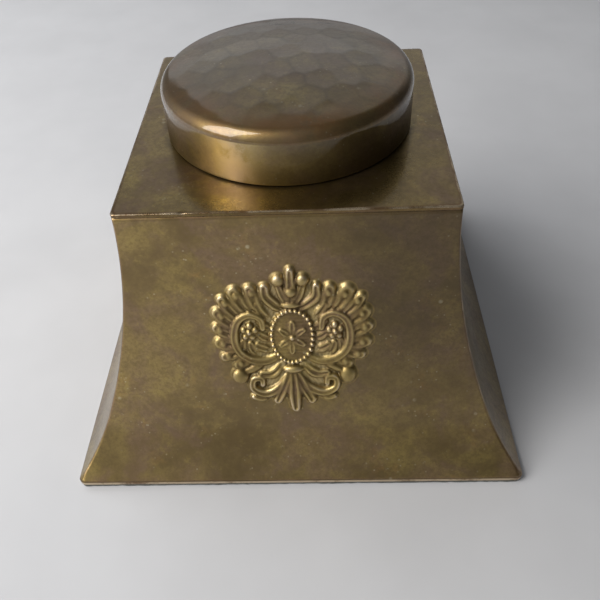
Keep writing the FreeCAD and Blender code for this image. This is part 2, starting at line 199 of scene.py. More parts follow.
def room_maths(operation, first, second=0.0):
    """One arithmetic step in the world's tree."""
    made = ROOM.node_tree.nodes.new("ShaderNodeMath")
    made.operation = operation
    for socket, value in zip(made.inputs, (first, second)):
        if isinstance(value, bpy.types.NodeSocket):
            ROOM.node_tree.links.new(value, socket)
        else:
            socket.default_value = value
    return made.outputs[0]


def room_step(value, low, high, bottom=0.0, top=1.0):
    """Soft step from `bottom` at low to `top` at high."""
    made = ROOM.node_tree.nodes.new("ShaderNodeMapRange")
    made.interpolation_type = "SMOOTHSTEP"
    ROOM.node_tree.links.new(value, made.inputs["Value"])
    for socket, number in (("From Min", low), ("From Max", high), ("To Min", bottom), ("To Max", top)):
        made.inputs[socket].default_value = number
    return made.outputs["Result"]


print("the room starts with", len(ROOM.node_tree.nodes), "nodes")

# %% Paint the room
PALE_WALL = 0.72
SLAT_PACE = 24.0
SLAT_DEPTH = 0.12
towards = ROOM.node_tree.nodes.new("ShaderNodeSeparateXYZ")
heading = ROOM.node_tree.nodes.new("ShaderNodeTexCoord")
ROOM.node_tree.links.new(heading.outputs["Generated"], towards.inputs[0])
east, north, up = towards.outputs
azimuth = room_maths("ARCTAN2", east, north)
elevation = room_maths("ARCSINE", up)
westwards = room_maths("MULTIPLY", east, -0.93)
window_side = room_maths("ADD", westwards, room_maths("MULTIPLY", north, -0.36))
base_glow = room_step(window_side, -0.50, 0.80, 0.06, 0.46)
behind = room_step(north, 0.20, 0.70, 1.0, 0.5)
base_glow = room_maths("MULTIPLY", base_glow, behind)
left_edge = room_step(azimuth, math.radians(-27), math.radians(-24.5))
right_edge = room_step(azimuth, math.radians(62), 0.0)
top_edge = room_step(elevation, math.radians(63), math.radians(42))
low_edge = room_step(elevation, math.radians(4), math.radians(26), 0.45, 1.0)
slat_wave = room_maths("SINE", room_maths("MULTIPLY", elevation, SLAT_PACE))
slats = room_maths("ADD", 0.85, room_maths("MULTIPLY", slat_wave, SLAT_DEPTH))
sides = room_maths("MULTIPLY", left_edge, right_edge)
ends = room_maths("MULTIPLY", top_edge, low_edge)
pale_wall = room_maths("MULTIPLY", room_maths("MULTIPLY", sides, ends), slats)
glow = room_maths("ADD", base_glow, room_maths("MULTIPLY", pale_wall, PALE_WALL))
ROOM.node_tree.links.new(glow, ROOM.node_tree.nodes["Background"].inputs["Strength"])
ROOM.node_tree.nodes["Background"].inputs["Color"].default_value = (0.95, 0.97, 1.0, 1)
bpy.context.scene.view_settings.view_transform = "Standard"
print("and ends with", len(ROOM.node_tree.nodes))

# %% [markdown]
# ## Node helpers
#
# A patina is a stack of simple questions asked of every point: is this a cloud, a blotch, a
# speck, an edge? Each question is one noise and one threshold. A few small helpers keep the
# stack readable, and all noise is read in object space, so it stays on the metal as it moves.

# %% Helpers for materials
def add(tree, kind, inputs=None, **settings):
    """New node, with its settings, and its sockets set to values or linked to other sockets."""
    made = tree.nodes.new(kind)
    for key, value in settings.items():
        setattr(made, key, value)
    for key, value in (inputs or {}).items():
        if isinstance(value, bpy.types.NodeSocket):
            tree.links.new(value, made.inputs[key])
        else:
            made.inputs[key].default_value = value
    return made


def noise(tree, coords, scale, detail=4.0, roughness=0.55, distortion=0.0):
    """Noise value; scale is in cells to the metre."""
    values = {"Vector": coords, "Scale": scale, "Detail": detail}
    values.update({"Roughness": roughness, "Distortion": distortion})
    return add(tree, "ShaderNodeTexNoise", values).outputs["Fac"]


def mask(tree, value, low, high, strength=1.0):
    """0 below low, `strength` above high, and a soft step between."""
    values = {"Value": value, "From Min": low, "From Max": high, "To Max": strength}
    return add(tree, "ShaderNodeMapRange", values, interpolation_type="SMOOTHSTEP").outputs["Result"]


def blend(tree, factor, under, over):
    """Colour `over` laid on colour `under` by factor."""
    mix = add(tree, "ShaderNodeMix", data_type="RGBA")
    for socket, value in ((0, factor), (6, under), (7, over)):
        if isinstance(value, bpy.types.NodeSocket):
            tree.links.new(value, mix.inputs[socket])
        else:
            mix.inputs[socket].default_value = value
    return mix.outputs[2]


def maths(tree, operation, first, second=0.0):
    """One arithmetic step."""
    made = add(tree, "ShaderNodeMath", {0: first, 1: second}, operation=operation)
    return made.outputs[0]


def rgb(red, green, blue):
    """Opaque colour."""
    return (red, green, blue, 1.0)


def painted(tree, name):
    """What a mesh carries under this name, point by point; 0 where it carries nothing."""
    return add(tree, "ShaderNodeAttribute", attribute_name=name).outputs["Fac"]


def bump(tree, height, strength, depth):
    """Small relief in the shading only, `depth` metres deep."""
    made = add(tree, "ShaderNodeBump", {"Height": height, "Strength": strength, "Distance": depth})
    tree.links.new(made.outputs["Normal"], tree.nodes["Principled BSDF"].inputs["Normal"])


def new_finish(name):
    """New material, its tree, its shader and the coordinates of the piece that wears it."""
    material = bpy.data.materials.new(name)
    material.use_nodes = True
    tree = material.node_tree
    coords = add(tree, "ShaderNodeTexCoord").outputs["Object"]
    return material, tree, tree.nodes["Principled BSDF"], coords


print("questions to ask of a point:", [ask.__name__ for ask in (noise, mask, painted)])

# %% [markdown]
# ## Aged brass
#
# Old brass isn't one colour. Handling leaves olive-brown clouds, a purplish tarnish in patches,
# golden-green where it was last rubbed, pale specks of dried wax, and bare warm metal along every
# edge that a hand or a cloth can catch. Under it all, metal reflects; over it, a thin hard film
# of tarnish and wax gives a second, sharper and colourless reflection.
# So the shader is a rough metal with a clear coat, and the paint layers only change its colour
# and roughness. `wear`, the dark layer of dirt and painted shade, `rust` and `matt` are painted on
# the meshes, where the edges and hollows are known.

# %% Colours of old brass
TARNISH = rgb(0.150, 0.100, 0.036)
OLIVE = rgb(0.285, 0.202, 0.070)
GOLD_GREEN = rgb(0.400, 0.300, 0.085)
PURPLE = rgb(0.200, 0.126, 0.080)
AMBER = rgb(0.370, 0.190, 0.055)
UMBER = rgb(0.200, 0.110, 0.050)
RUST = rgb(0.300, 0.150, 0.050)
STRAW = rgb(0.560, 0.430, 0.175)
BARE = rgb(0.600, 0.480, 0.320)
SPECK = rgb(0.560, 0.500, 0.330)
# Dark brown of dirt, laid on also as painted shade
GRIME_AND_SHADE = rgb(0.040, 0.028, 0.014)
print("bare brass reflects", round(BARE[0] / TARNISH[0]), "times as much red as its tarnish")


# %% Patina and specks
PATINA_NOISES = {
    "clouds": (42.0, 6.0, 0.62, 0.3),
    "patches": (80.0, 5.0, 0.62, 0.6),
    "streaks": (210.0, 6.0, 0.72),
    "mottle": (300.0, 8.0, 0.78),
    "gold": (55.0, 6.0, 0.68, 0.3),
    "amber": (110.0, 6.0, 0.72),
}
PATINA_COATS = (
    ("clouds", 0.34, 0.64, 1.0, OLIVE),
    ("patches", 0.43, 0.62, 0.75, PURPLE),
    ("gold", 0.52, 0.70, 0.60, GOLD_GREEN),
    ("amber", 0.56, 0.72, 0.35, AMBER),
    ("streaks", 0.42, 0.66, 0.35, OLIVE),
    ("mottle", 0.46, 0.62, 0.42, TARNISH),
    ("mottle", 0.46, 0.34, 0.30, GOLD_GREEN),
)


def patina(tree, coords):
    """Colour of the tarnish, and the two noises that its roughness follows."""
    noises = {name: noise(tree, coords, *values) for name, values in PATINA_NOISES.items()}
    colour = TARNISH
    for name, low, high, strength, tint in PATINA_COATS:
        colour = blend(tree, mask(tree, noises[name], low, high, strength), colour, tint)
    return colour, noises["streaks"], noises["patches"]


def specks(tree, coords, scale, low, strength):
    """Pale dots of dried wax, in loose groups; strength where there is a dot."""
    cells = add(tree, "ShaderNodeTexVoronoi", {"Vector": coords, "Scale": scale})
    near = mask(tree, cells.outputs["Distance"], 0.20, 0.07)
    chosen = mask(tree, noise(tree, coords, 110.0, 5.0, 0.65), low, low + 0.12, strength)
    return maths(tree, "MULTIPLY", near, chosen)


print("coats of tarnish:", len(PATINA_COATS))

# %% [markdown]
# The layers go on in the order in which they happened: tarnish and specks first, rust, then the
# metal that rubbing laid bare again, and the dirt last, which on some pieces also carries painted
# shade. Roughness follows the same masks, since a rubbed edge is smoother and dirt is duller.
# `seed` shifts the noise, so that neighbours differ.

# %% The brass shader
def aged_brass(name, shade=1.0, rough=0.36, seed=0.0, rubbed=UMBER, coat=0.55, film_rough=0.12):
    """Brass with patina; shade darkens or lightens it, rough is the metal under the film."""
    material, tree, shader, place = new_finish(name)
    shifted = add(tree, "ShaderNodeVectorMath", {0: place, 1: (seed, seed * 0.7, seed * 1.3)})
    coords = shifted.outputs[0]
    colour, streaks, patches = patina(tree, coords)
    grain = noise(tree, coords, 1300.0, 5.0, 0.70)
    colour = blend(tree, mask(tree, grain, 0.42, 0.66, 0.45), colour, TARNISH)
    colour = blend(tree, specks(tree, coords, 330.0, 0.54, 0.60), colour, SPECK)
    colour = blend(tree, specks(tree, coords, 760.0, 0.50, 0.50), colour, SPECK)

    wear = painted(tree, "wear")
    # The dark layer: dirt, and painted shade where a mesh paints it so
    grime_and_shade = painted(tree, "grime_and_shade")
    broken = maths(tree, "MULTIPLY", wear, mask(tree, streaks, 0.22, 0.55))
    rusty = maths(tree, "MULTIPLY", painted(tree, "rust"), mask(tree, streaks, 0.30, 0.60))
    colour = blend(tree, rusty, colour, RUST)
    colour = blend(tree, mask(tree, wear, 0.02, 0.55, 0.60), colour, rubbed)
    colour = blend(tree, mask(tree, broken, 0.34, 0.85, 0.85), colour, BARE)
    colour = blend(tree, grime_and_shade, colour, GRIME_AND_SHADE)
    tint = add(tree, "ShaderNodeHueSaturation", {"Color": colour, "Value": shade})
    tree.links.new(tint.outputs["Color"], shader.inputs["Base Color"])

    roughness = rough - 0.04
    for layer, change in (
        (mask(tree, patches, 0.35, 0.70), 0.10),
        (mask(tree, grain, 0.40, 0.65), 0.06),
        (mask(tree, broken, 0.30, 0.90), -0.06),
        (grime_and_shade, 0.25),
    ):
        roughness = maths(tree, "ADD", roughness, maths(tree, "MULTIPLY", layer, change))
    tree.links.new(roughness, shader.inputs["Roughness"])
    bump(tree, maths(tree, "ADD", maths(tree, "MULTIPLY", grain, 0.30), streaks), 0.14, 0.0004)
    shader.inputs["Metallic"].default_value = 0.92
    shader.inputs["Coat Weight"].default_value = coat
    shader.inputs["Coat Roughness"].default_value = film_rough
    shader.inputs["Coat IOR"].default_value = 1.5
    return material


def film_where_matt_is_low(material, full, least):
    """Clear film of weight `full`, down to `least` where the painted `matt` is 1."""
    tree = material.node_tree
    film = maths(tree, "SUBTRACT", full, maths(tree, "MULTIPLY", painted(tree, "matt"), full - least))
    tree.links.new(film, tree.nodes["Principled BSDF"].inputs["Coat Weight"])


# %% [markdown]
# The lid gets the thickest clear film, which gives its domed top a sharp faint mirror over dark
# metal. On its skirt, where fingers grip it, the film is nearly gone.

# %% Brass for each piece
body_brass = aged_brass("body_brass", shade=1.16)
plate_brass = aged_brass("plate_brass", shade=0.85, rough=0.29, coat=0.30, seed=0.31)
lid_brass = aged_brass(
    "lid_brass", shade=0.92, rough=0.33, seed=0.83, rubbed=STRAW, coat=1.0, film_rough=0.07,
)
film_where_matt_is_low(lid_brass, 1.0, 0.2)
ornament_brass = aged_brass("ornament_brass", shade=1.10, rough=0.42, rubbed=STRAW, coat=0.2)
hinge_brass = aged_brass("hinge_brass", shade=1.1, rough=0.34, seed=1.7)
collar_brass = aged_brass("collar_brass", shade=1.35, rough=0.28, seed=2.1)
print("brass finishes:", len([m for m in bpy.data.materials if m.name.endswith("brass")]))

# %% [markdown]
# ## Mesh helpers
#
# Sheet metal is one closed skin: an outer face, an inner face and the narrow edge between them.
# If both faces are grids with the same rows and columns, one function can stitch any sheet, be it
# a wall, a lid or a plate. Numpy holds the points, so a dent is one line of arithmetic.

# %% Helpers for meshes
def mesh_piece(name, points, faces, material, attributes=None):
    """Smooth-shaded object from points in millimetres."""
    data = bpy.data.meshes.new(name)
    data.from_pydata((np.asarray(points) * MM).tolist(), [], faces)
    data.validate()
    data.polygons.foreach_set("use_smooth", [True] * len(data.polygons))
    for key, values in (attributes or {}).items():
        layer = data.attributes.new(key, "FLOAT", "POINT")
        layer.data.foreach_set("value", np.asarray(values, dtype=np.float32))
    data.materials.append(material)
    piece = bpy.data.objects.new(name, data)
    bpy.context.scene.collection.objects.link(piece)
    return piece


def grid_faces(rows, columns, wrap_rows=False, wrap_columns=False):
    """Quads of a grid of points, stored row by row."""
    r = np.arange(rows if wrap_rows else rows - 1)
    c = np.arange(columns if wrap_columns else columns - 1)
    r, c = np.meshgrid(r, c, indexing="ij")
    r2 = (r + 1) % rows
    c2 = (c + 1) % columns
    corners = (r * columns + c, r * columns + c2, r2 * columns + c2, r2 * columns + c)
    return np.stack(corners, -1).reshape(-1, 4).tolist()


def ripple(x, y, size, seed):
    """Smooth random waviness of about -1 to 1, with bumps about `size` across."""
    draw = np.random.default_rng(seed)
    total = np.zeros_like(x)
    waves = 16
    for _ in range(waves):
        angle = draw.uniform(0, 2 * math.pi)
        length = size * draw.uniform(0.7, 1.7)
        start = draw.uniform(0, 2 * math.pi)
        along = x * math.cos(angle) + y * math.sin(angle)
        total = total + np.sin(2 * math.pi * along / length + start)
    return total / math.sqrt(2 * waves)


def fade(distance, reach):
    """1 at an edge, falling smoothly to 0 as distance grows past reach."""
    return np.exp(-((distance / reach) ** 2))


def soft_step(distance, softness):
    """0 well before distance 0 and 1 well after it."""
    return 1 / (1 + np.exp(-distance / softness))


print("a grid of 3 by 4 points has", len(grid_faces(3, 4)), "quads")

# %% [markdown]
# ## Four walls
#
# Each wall was cut from sheet, bent over a former and mitred, and the corner was filed after
# soldering. A knife-sharp corner would catch no light, so the outer face turns through 45 degrees
# in a small arc before it meets the mitre, and its neighbour carries on from there. Hand-worked
# sheet is never quite flat: a waviness of a few hundredths of a millimetre is enough to bend a
# reflection. It fades out at the joints, where the plates hold the metal true. Towards the upper
# right of each wall the colour is darkened by painted shade, standing in for the dim side of the
# room that this part of the wall mirrors.

# %% Shape of one wall
ARRIS_R = 0.55
FOOT_CORNER_R = 1.6
WALL_ROWS = 84
FLAT_COLUMNS = 90
ARC_COLUMNS = 6
WAVE_DEPTH = 0.07
# Painted shade towards a wall's upper right: how dark, and where it begins in x and z
UPPER_RIGHT_SHADE = 0.60
UPPER_RIGHT_SHADE_X = 8
UPPER_RIGHT_SHADE_Z = 20


def wall_dent(x, z, seed):
    """How far the hand-made wall stands out from its true curve; 0 at its four joints."""
    to_end = np.minimum(PLATE_UNDER - z, z - FOOT_Z)
    hold = (1 - fade(half_width(z) - np.abs(x), 6.0)) * (1 - fade(to_end, 6.0))
    return WAVE_DEPTH * ripple(x, z, 26.0, seed) * hold


def wall_faces(seed):
    """Points of a front wall: outer grid, inner grid, and each outer point's wear and painted shade.
    """
    span = np.linspace(0, 1, WALL_ROWS) ** 1.15
    z = (FOOT_Z + (PLATE_UNDER - FOOT_Z) * span)[:, None]
    half = half_width(z)
    near_foot = fade(z - FOOT_Z, 1.1)
    corner = ARRIS_R + (FOOT_CORNER_R - ARRIS_R) * near_foot
    turn = np.linspace(math.pi / 4, 0, ARC_COLUMNS)[None, :]
    flat = np.linspace(-1, 1, FLAT_COLUMNS)[None, 1:-1]
    arc_x = (half - corner) + corner * np.sin(turn)
    arc_y = (half - corner) + corner * np.cos(turn)
    flat_x = flat * (half - corner)
    flat_y = np.broadcast_to(half, flat_x.shape)
    x = np.hstack([-arc_x, flat_x, arc_x[:, ::-1]])
    y = np.hstack([arc_y, flat_y, arc_y[:, ::-1]])
    z_all = np.broadcast_to(z, x.shape)
    to_mitre = half - np.abs(x)
    dent = wall_dent(x, z_all, seed)
    outer = np.stack([x, -(y - FACE_BACK + dent), z_all], -1)
    share = np.clip(x / half, -1, 1)
    inner_half = half_width(z, SHEET)
    inner = np.stack([share * inner_half, -(inner_half + dent + 0 * x), z_all], -1)
    uneven = 0.75 + 0.35 * ripple(x, z_all, 9.0, seed + 50)
    wear = np.maximum.reduce([
        fade(to_mitre, 0.45) * 0.75,
        fade(PLATE_UNDER - z_all, 0.35) * 0.35,
        fade(z_all - FOOT_Z, 0.4) * 0.5,
        fade(to_mitre, 2.6) * fade(z_all - FOOT_Z, 14.0) * 0.22,
    ]) * uneven
    # Painted shade, darker towards the upper right
    upper_right_shade = soft_step(x - UPPER_RIGHT_SHADE_X + 4 * ripple(x, z_all, 24.0, seed + 60), 5.0)
    upper_right_shade = upper_right_shade * soft_step(z_all - UPPER_RIGHT_SHADE_Z + 4 * ripple(x, z_all, 20.0, seed + 70), 8.0)
    return outer, inner, np.clip(wear, 0, 1), UPPER_RIGHT_SHADE * upper_right_shade


print("points on a wall's outer face:", wall_faces(seed=0)[2].size)


# %% Build the walls
def close_sheet(outer, inner):
    """Points and quads of the closed skin between two equal grids."""
    rows, columns = outer.shape[:2]
    loop = np.concatenate([outer, inner[:, ::-1]], axis=1)
    faces = grid_faces(rows, 2 * columns, wrap_columns=True)
    for row, flip in ((0, False), (rows - 1, True)):
        for c in range(columns - 1):
            near = row * 2 * columns + c
            far = row * 2 * columns + 2 * columns - 1 - c
            quad = [near, far, far - 1, near + 1]
            faces.append(quad[::-1] if flip else quad)
    return loop.reshape(-1, 3), faces


def wall(name, quarter_turns, seed):
    """One wall, turned to its side of the box."""
    outer, inner, wear, upper_right_shade = wall_faces(seed)
    points, faces = close_sheet(outer, inner)
    inside = np.zeros_like(wear)
    # The painted shade goes out with the dirt layer
    paint = {
        "wear": np.concatenate([wear, inside], axis=1).reshape(-1),
        "grime_and_shade": np.concatenate([upper_right_shade, inside], axis=1).reshape(-1),
    }
    angle = quarter_turns * math.pi / 2
    spin = np.array([
        [math.cos(angle), math.sin(angle), 0],
        [-math.sin(angle), math.cos(angle), 0],
        [0, 0, 1],
    ])
    piece = mesh_piece(name, points @ spin, faces, body_brass, paint)
    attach(piece, "body")
    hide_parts(name)
    return piece


for turns, side in enumerate(("front_wall", "right_wall", "back_wall", "left_wall")):
    made = wall(side, turns, seed=turns + 3)
    made.name = side + "_sheet"
    print(made.name, len(made.data.vertices), "points")

# %% [markdown]
# ## Top plate
#
# The plate is a square with a round hole, which suits neither a square grid nor a round one. So
# the grid follows both: each column starts at a point of the hole and ends at a point of the
# square's outline, and the outline is walked at an even pace with small arcs at its corners.
# The plate's upper edge is rounded and worn bright, and one old knock near the left of the front
# edge has left a nick. Round the lid's foot, a ring of dirt and painted contact shade darkens it.

# %% Outline of a rounded square
def rounded_square(half, corner, step=0.55, arc_steps=7):
    """Points once round a square with rounded corners."""
    straight = half - corner
    count = max(2, int(2 * straight / step))
    side = np.linspace(-straight, straight, count, endpoint=False)
    arc = np.linspace(0, math.pi / 2, arc_steps, endpoint=False)
    x = np.concatenate([side, straight + corner * np.sin(arc)])
    y = np.concatenate([-half + 0 * side, -straight - corner * np.cos(arc)])
    points = np.stack([x, y], -1)
    turns = [points]
    for _ in range(3):
        points = np.stack([-points[:, 1], points[:, 0]], -1)
        turns.append(points)
    return np.concatenate(turns)


def edge_section(thick, radius, steps=4):
    """Rounded edge from the top face to the bottom face, as (outward, down) pairs."""
    arc = np.linspace(0, math.pi / 2, steps)
    upper = [(-radius + radius * math.sin(a), radius - radius * math.cos(a)) for a in arc]
    lower = [(out, thick - down) for out, down in reversed(upper)]
    return upper + lower


print("steps down a rounded edge:", len(edge_section(1.0, 0.25)))

# %% Build the top plate
HOLE_R = 23.45
PLATE_CORNER_R = 0.9
PLATE_EDGE_R = 0.28
NICK_X = -18.5
PLATE_THICK = PLATE_TOP - PLATE_UNDER

outline = rounded_square(PLATE_HALF, PLATE_CORNER_R)
bearing = np.arctan2(outline[:, 1] - LID_Y, outline[:, 0])
hole = np.stack([HOLE_R * np.cos(bearing), LID_Y + HOLE_R * np.sin(bearing)], -1)
reach = outline - hole
length = np.linalg.norm(reach, axis=1)
direction = reach / length[:, None]
rings = []
ring_depths = []
ring_wear = []
for share in np.linspace(0, 1, 24)[:-1]:
    rings.append(hole + direction * ((length - PLATE_EDGE_R) * share)[:, None])
    ring_depths.append(0.0)
    ring_wear.append(0.0)
for out, down in edge_section(PLATE_THICK, PLATE_EDGE_R):
    rings.append(outline + direction * out)
    ring_depths.append(down)
    ring_wear.append(0.9 if down < 0.2 else 0.45 if down > PLATE_THICK - 0.2 else 0.12)
for share in (0.5, 0.0):
    rings.append(hole + direction * ((length - PLATE_EDGE_R) * share)[:, None])
    ring_depths.append(PLATE_THICK)
    ring_wear.append(0.0)
plan = np.stack(rings)
plan_x = plan[..., 0]
plan_y = plan[..., 1]
depth = np.broadcast_to(np.array(ring_depths)[:, None], plan_x.shape)
from_edge = PLATE_HALF - np.maximum(np.abs(plan_x), np.abs(plan_y))
held = 1 - fade(from_edge, 4.0)
sag = 0.03 * (ripple(plan_x, plan_y, 16.0, 21) - 1.5) * held
nick = 0.22 * fade(plan_x - NICK_X, 0.45) * fade(plan_y + PLATE_HALF, 0.5)
height = PLATE_TOP - depth + np.where(depth < PLATE_THICK / 2, sag - nick, 0)
points = np.stack([plan_x, plan_y, height], -1)
plate_faces = grid_faces(*plan_x.shape, wrap_rows=True, wrap_columns=True)
print("top plate:", plan_x.size, "points")

# %% Paint the top plate
edge_wear = np.broadcast_to(np.array(ring_wear)[:, None], plan_x.shape)
rim_glow = fade(from_edge, 0.5) * 0.25
uneven = 0.8 + 0.3 * ripple(plan_x, plan_y, 8.0, 5)
plate_wear = np.clip(np.maximum(edge_wear, rim_glow) * uneven, 0, 1)
from_lid = np.hypot(plan_x, plan_y - LID_Y) - LID_R
# Dirt and painted contact shade, in a ring round the lid's foot
dirt_and_shade = 0.4 * fade(from_lid - 0.3, 0.8) * (0.7 + 0.5 * ripple(plan_x, plan_y, 5.0, 6))
plate_paint = {"wear": plate_wear.reshape(-1), "grime_and_shade": np.clip(dirt_and_shade, 0, 1).reshape(-1)}
top_plate = mesh_piece("top_plate_sheet", points.reshape(-1, 3), plate_faces, plate_brass, plate_paint)
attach(top_plate, "body")
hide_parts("top_plate")
print("plate points in dirt:", int((dirt_and_shade > 0.1).sum()))

# %% [markdown]
# ## Base plate and felt
#
# The bottom is a flat sheet, soldered on last, whose edge shows as a thin bright line. Under it a
# felt keeps the brass off the desk. Both are the same rounded square, but the felt's edge is cut
# by scissors, so it wanders, and its fibres stand out a little. Each face is one flat polygon:
# rings that shrank to the middle would only leave a knot of thin triangles there.

# %% A flat slab and its felt
def flat_slab(name, half, corner, low, high, edge_radius, material, wander, wear):
    """Rounded-square slab with one flat face above and one below."""
    square = rounded_square(half, corner)
    normal = square / np.linalg.norm(square, axis=1)[:, None]
    sway = wander * (ripple(square[:, 0], square[:, 1], 2.5, 77) - 1.7)
    square = square + normal * sway[:, None]
    section = edge_section(high - low, edge_radius)
    points = np.concatenate([
        np.column_stack([square + normal * out, np.full(len(square), high - down)])
        for out, down in section
    ])
    count = len(square)
    faces = grid_faces(len(section), count, wrap_columns=True)
    faces = [face[::-1] for face in faces]
    faces.append(list(range(count)))
    faces.append(list(range(len(points) - 1, len(points) - count - 1, -1)))
    worn = np.full(len(points), wear)
    return mesh_piece(name, points, faces, material, {"wear": worn})


def felt_material():
    """Dark green felt: fuzz from fine noise, matted in patches."""
    material, tree, shader, coords = new_finish("felt")
    fibres = noise(tree, coords, 2600.0, 6.0, 0.7, 1.5)
    matted = noise(tree, coords, 120.0, 4.0)
    fuzz = mask(tree, fibres, 0.30, 0.70)
    colour = blend(tree, fuzz, rgb(0.016, 0.020, 0.014), rgb(0.060, 0.066, 0.044))
    colour = blend(tree, mask(tree, matted, 0.45, 0.70, 0.5), colour, rgb(0.050, 0.042, 0.030))
    tree.links.new(colour, shader.inputs["Base Color"])
    bump(tree, fibres, 0.6, 0.0003)
    shader.inputs["Roughness"].default_value = 0.95
    shader.inputs["Sheen Weight"].default_value = 0.35
    return material


print("points round the foot:", len(rounded_square(BASE_HALF, FOOT_CORNER_R)))

# %% Build the two flat pieces
FELT_FRAY = 0.25
felt_low, felt_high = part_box("base_felt")
bottom = flat_slab(
    "base_plate_sheet", BASE_HALF - FACE_BACK, FOOT_CORNER_R, base_low.z / MM, base_high.z / MM,
    0.25, body_brass, 0.0, 0.75,
)
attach(bottom, "body")
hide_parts("base_plate")

felt = flat_slab(
    "base_felt_pad", felt_high.x / MM + FELT_FRAY, FOOT_CORNER_R, felt_low.z / MM,
    felt_high.z / MM, 0.2, felt_material(), 0.08, 0.0,
)
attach(felt, "body")
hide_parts("base_felt")
print("felt and bottom:", len(felt.data.vertices) + len(bottom.data.vertices), "points")

# %% [markdown]
# ## The hammered lid
#
# The lid was raised from one disc: a straight skirt, a rounded rim and a low dome, then planished
# with a nearly flat hammer. Each blow leaves one shallow facet, and the blows overlap in wavy
# rows. A facet is the nearest blow's own little bowl, so the surface is the lowest of all the
# bowls, and a soft minimum rounds the ridges between them. The blows stop short of the rim.

# %% Where the hammer fell
HAMMER_PITCH = 5.6
HAMMER_WANDER = 1.0
HAMMER_DEPTH = 0.10
RIDGE_SOFTNESS = 0.012
HAMMERED_R = 20.6


def hammer_blows():
    """Centres and depths of the blows, in wavy rows across the dome."""
    draw = np.random.default_rng(12)
    blows = []
    rows = int(2 * LID_R / (HAMMER_PITCH * 0.87)) + 2
    for row in range(-rows // 2, rows // 2 + 1):
        for column in range(-8, 9):
            x = (column + 0.5 * (row % 2)) * HAMMER_PITCH
            y = row * HAMMER_PITCH * 0.87 + 1.3 * math.sin(x / 7.0 + row)
            x += draw.uniform(-1, 1) * HAMMER_WANDER
            y += draw.uniform(-1, 1) * HAMMER_WANDER
            blows.append((x, y, draw.uniform(0.75, 1.25)))
    lean = math.radians(8)
    blows = np.array(blows)
    x = blows[:, 0] * math.cos(lean) - blows[:, 1] * math.sin(lean)
    y = blows[:, 0] * math.sin(lean) + blows[:, 1] * math.cos(lean)
    return np.stack([x, y, blows[:, 2]], -1)


BLOWS = hammer_blows()


def hammered(x, y):
    """Depth of the hammer marks below the smooth dome, at most 0."""
    bowl = HAMMER_DEPTH / (HAMMER_PITCH * 0.62) ** 2
    lowest = np.zeros_like(x)
    for bx, by, force in BLOWS:
        near = bowl * ((x - bx) ** 2 + (y - by) ** 2) - HAMMER_DEPTH * force
        lowest = lowest + np.exp(-near / RIDGE_SOFTNESS)
    depth = -RIDGE_SOFTNESS * np.log(lowest + 1e-9)
    inside = soft_step(HAMMERED_R - np.hypot(x, y), 0.8)
    return np.minimum(depth, 0) * inside


def ridge_shade_lines(x, y):
    """Painted shade in thin lines along the ridges between blows, where the facets break the
    reflection; 0 to 1.
    """
    gaps = np.stack([np.hypot(x - bx, y - by) for bx, by, _ in BLOWS])
    nearest = np.partition(gaps, 1, axis=0)
    across = nearest[1] - nearest[0]
    inside = soft_step(HAMMERED_R - np.hypot(x, y), 1.2)
    return fade(across, 0.75) * inside * (0.55 + 0.45 * ripple(x, y, 9.0, 61))


print("hammer blows:", len(BLOWS))

# %% [markdown]
# The lid is one section spun round its axis: out over the dome, round the rim, down the skirt,
# under its lip and back up inside. The dome's arc and the rim's arc share a tangent where they
# meet, so no crease shows. Hand-raised metal isn't quite round, so the skirt wanders a little.

# %% The lid's section
LID_THICK = 0.9
RIM_R = 2.6
DOME_R = 95.0
SKIRT_EDGE_R = 0.25
LID_COLUMNS = 300


def lid_profile(inset, dome_rings, rim_rings, skirt_rings):
    """Radius and height down one face of the lid, from the apex to the skirt's edge."""
    reach = (LID_R - RIM_R) / (DOME_R - RIM_R)
    rim_z = LID_TOP - DOME_R + (DOME_R - RIM_R) * math.sqrt(1 - reach**2)
    edge = math.acos(reach)
    dome = np.linspace(0, math.pi / 2 - edge, dome_rings)[1:]
    rim = np.linspace(edge, 0, rim_rings)[1:]
    skirt = np.linspace(rim_z, LID_BOTTOM + SKIRT_EDGE_R, skirt_rings)[1:]
    radius = np.concatenate([
        (DOME_R - inset) * np.sin(dome),
        LID_R - RIM_R + (RIM_R - inset) * np.cos(rim),
        np.full(len(skirt), LID_R - inset),
    ])
    height = np.concatenate([
        LID_TOP - DOME_R + (DOME_R - inset) * np.cos(dome),
        rim_z + (RIM_R - inset) * np.sin(rim),
        skirt,
    ])
    return radius, height, rim_z


outer_r, outer_z, rim_z = lid_profile(0, 76, 17, 22)
inner_r, inner_z, _ = lid_profile(LID_THICK, 26, 6, 6)
lip = np.linspace(0, math.pi, 7)[1:-1]
lip_r = LID_R - LID_THICK / 2 + LID_THICK / 2 * np.cos(lip)
lip_z = LID_BOTTOM + SKIRT_EDGE_R - SKIRT_EDGE_R * np.sin(lip)
section_r = np.concatenate([outer_r, lip_r, inner_r[::-1]])
section_z = np.concatenate([outer_z, lip_z, inner_z[::-1]])
print("the skirt is upright for", round(rim_z - LID_BOTTOM, 2), "mm")

